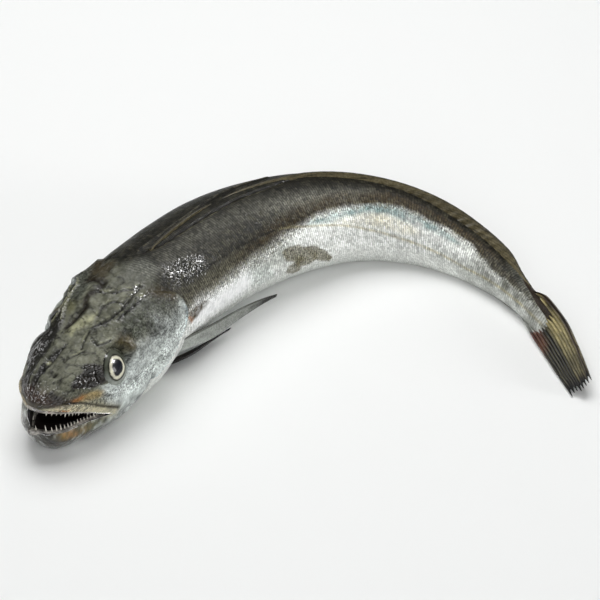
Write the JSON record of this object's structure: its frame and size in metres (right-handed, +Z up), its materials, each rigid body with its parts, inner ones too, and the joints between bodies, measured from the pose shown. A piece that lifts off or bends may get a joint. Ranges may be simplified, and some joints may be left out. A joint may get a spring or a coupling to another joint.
{
  "type": "whole raw fish",
  "caption": "Whole raw small hake, a slender food fish, lying on its belly with its body bent round in a bow and its mouth open.",
  "frame": {"origin": "on the table under the middle of the box round the whole fish", "axes": "+X from the head end of the bow to the tail end, +Y from the hollow side of the bow to its outer side, +Z up"},
  "size_m": [0.318, 0.2048, 0.0695],
  "materials": {
    "skin": "wet scaly skin, dark grey-olive on the back and silver-white on the flanks and belly",
    "eye": "wet and glossy, black pupil in a cream-white iris under a clear film"
  },
  "bodies": {
    "root": {"hake": "skin", "eye_left": "eye", "eye_right": "eye"}
  },
  "joints": []
}
